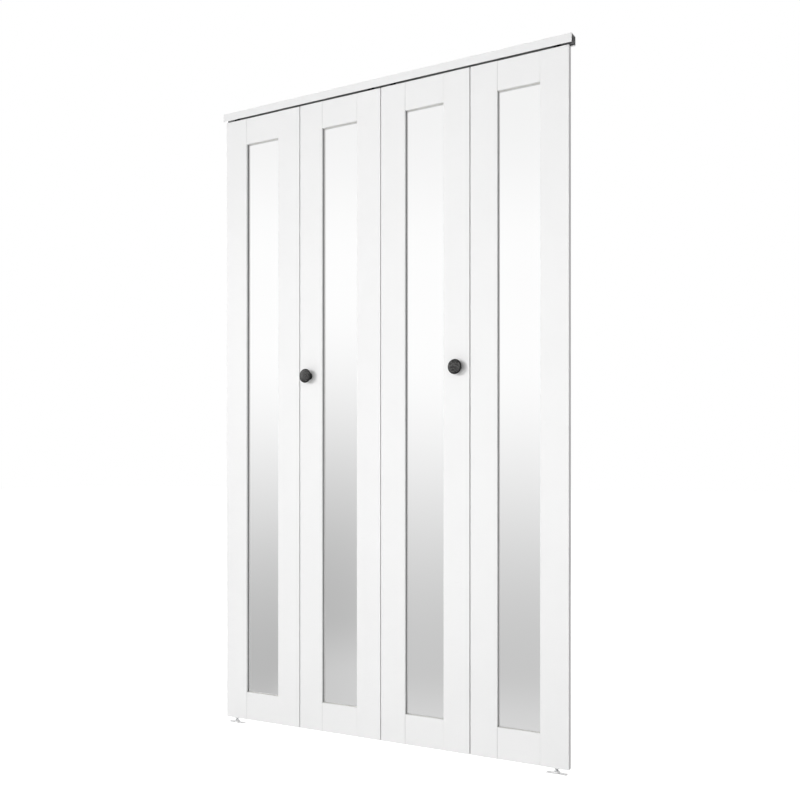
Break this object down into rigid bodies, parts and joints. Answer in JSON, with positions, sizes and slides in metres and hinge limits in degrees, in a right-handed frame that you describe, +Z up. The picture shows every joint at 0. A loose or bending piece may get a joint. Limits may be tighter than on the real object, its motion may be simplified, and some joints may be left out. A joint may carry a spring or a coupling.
{
  "type": "bifold closet door",
  "caption": "Folding closet door of framed mirror panels hinged in pairs, turning on floor and head pivots and guided by rollers in a header track.",
  "frame": {"origin": "middle of the header's top face, above the centreline of the track", "axes": "+X to the right seen from the room, +Y back into the closet, +Z up"},
  "size_m": [1.219, 0.0565, 2.045],
  "materials": {
    "panel_paint": "satin white paint on a moulded fibreboard frame",
    "header_paint": "satin white powder coat",
    "mirror": "silvered glass",
    "back_board": "bare hardboard",
    "track_steel": "plain rolled steel",
    "zinc_plate": "zinc plated",
    "pin_steel": "bright steel",
    "black_plastic": "moulded black plastic",
    "roller_nylon": "moulded nylon",
    "knob_finish": "mottled charcoal finish"
  },
  "bodies": {
    "header": {"header_cover": "header_paint", "header_track": "track_steel", "left_top_bracket": "zinc_plate", "left_bottom_bracket": "header_paint", "right_top_bracket": "zinc_plate", "right_bottom_bracket": "header_paint"},
    "left_jamb_panel": {"left_jamb_hinge_stile": "panel_paint", "left_jamb_pivot_stile": "panel_paint", "left_jamb_top_rail": "panel_paint", "left_jamb_bottom_rail": "panel_paint", "left_jamb_mirror": "mirror", "left_jamb_back_board": "back_board", "left_upper_hinge_jamb_leaf": "zinc_plate", "left_middle_hinge_jamb_leaf": "zinc_plate", "left_lower_hinge_jamb_leaf": "zinc_plate", "left_top_pivot_sleeve": "black_plastic", "left_bottom_pivot": "zinc_plate"},
    "left_lead_panel": {"left_lead_hinge_stile": "panel_paint", "left_lead_guide_stile": "panel_paint", "left_lead_top_rail": "panel_paint", "left_lead_bottom_rail": "panel_paint", "left_lead_mirror": "mirror", "left_lead_back_board": "back_board", "left_upper_hinge_lead_leaf": "zinc_plate", "left_upper_hinge_pin": "pin_steel", "left_middle_hinge_lead_leaf": "zinc_plate", "left_middle_hinge_pin": "pin_steel", "left_lower_hinge_lead_leaf": "zinc_plate", "left_lower_hinge_pin": "pin_steel", "left_guide_stem": "black_plastic", "left_knob": "knob_finish"},
    "left_top_pin": {"left_top_pivot_pin": "pin_steel"},
    "left_guide_roller": {"left_guide_roller": "roller_nylon"},
    "right_jamb_panel": {"right_jamb_hinge_stile": "panel_paint", "right_jamb_pivot_stile": "panel_paint", "right_jamb_top_rail": "panel_paint", "right_jamb_bottom_rail": "panel_paint", "right_jamb_mirror": "mirror", "right_jamb_back_board": "back_board", "right_upper_hinge_jamb_leaf": "zinc_plate", "right_middle_hinge_jamb_leaf": "zinc_plate", "right_lower_hinge_jamb_leaf": "zinc_plate", "right_top_pivot_sleeve": "black_plastic", "right_bottom_pivot": "zinc_plate"},
    "right_lead_panel": {"right_lead_hinge_stile": "panel_paint", "right_lead_guide_stile": "panel_paint", "right_lead_top_rail": "panel_paint", "right_lead_bottom_rail": "panel_paint", "right_lead_mirror": "mirror", "right_lead_back_board": "back_board", "right_upper_hinge_lead_leaf": "zinc_plate", "right_upper_hinge_pin": "pin_steel", "right_middle_hinge_lead_leaf": "zinc_plate", "right_middle_hinge_pin": "pin_steel", "right_lower_hinge_lead_leaf": "zinc_plate", "right_lower_hinge_pin": "pin_steel", "right_guide_stem": "black_plastic", "right_knob": "knob_finish"},
    "right_top_pin": {"right_top_pivot_pin": "pin_steel"},
    "right_guide_roller": {"right_guide_roller": "roller_nylon"}
  },
  "joints": [
    {"name": "left_pivot", "type": "hinge", "parent": "header", "child": "left_jamb_panel", "pos_m": [-0.562, 0, -0.029], "axis": [0, 0, -1], "range_deg": [0, 85]},
    {"name": "left_fold", "type": "hinge", "parent": "left_jamb_panel", "child": "left_lead_panel", "pos_m": [-0.3007, 0.013, -0.029], "axis": [0, 0, 1], "range_deg": [0, 170]},
    {"name": "left_roller_spin", "type": "hinge", "parent": "left_lead_panel", "child": "left_guide_roller", "pos_m": [-0.0394, 0, -0.0122], "axis": [0, 0, 1], "continuous": true},
    {"name": "left_top_pin_slide", "type": "slide", "parent": "left_jamb_panel", "child": "left_top_pin", "axis": [0, 0, -1], "range_m": [0, 0.012], "stiffness_N_per_m": 400, "springref_m": -0.01},
    {"name": "right_pivot", "type": "hinge", "parent": "header", "child": "right_jamb_panel", "pos_m": [0.562, 0, -0.029], "axis": [0, 0, 1], "range_deg": [0, 85]},
    {"name": "right_fold", "type": "hinge", "parent": "right_jamb_panel", "child": "right_lead_panel", "pos_m": [0.3007, 0.013, -0.029], "axis": [0, 0, -1], "range_deg": [0, 170]},
    {"name": "right_roller_spin", "type": "hinge", "parent": "right_lead_panel", "child": "right_guide_roller", "pos_m": [0.0394, 0, -0.0122], "axis": [0, 0, 1], "continuous": true},
    {"name": "right_top_pin_slide", "type": "slide", "parent": "right_jamb_panel", "child": "right_top_pin", "axis": [0, 0, -1], "range_m": [0, 0.012], "stiffness_N_per_m": 400, "springref_m": -0.01}
  ],
  "couplings": [
    {"joint": "left_fold", "follows": "left_pivot", "ratio": 2},
    {"joint": "right_fold", "follows": "right_pivot", "ratio": 2}
  ]
}
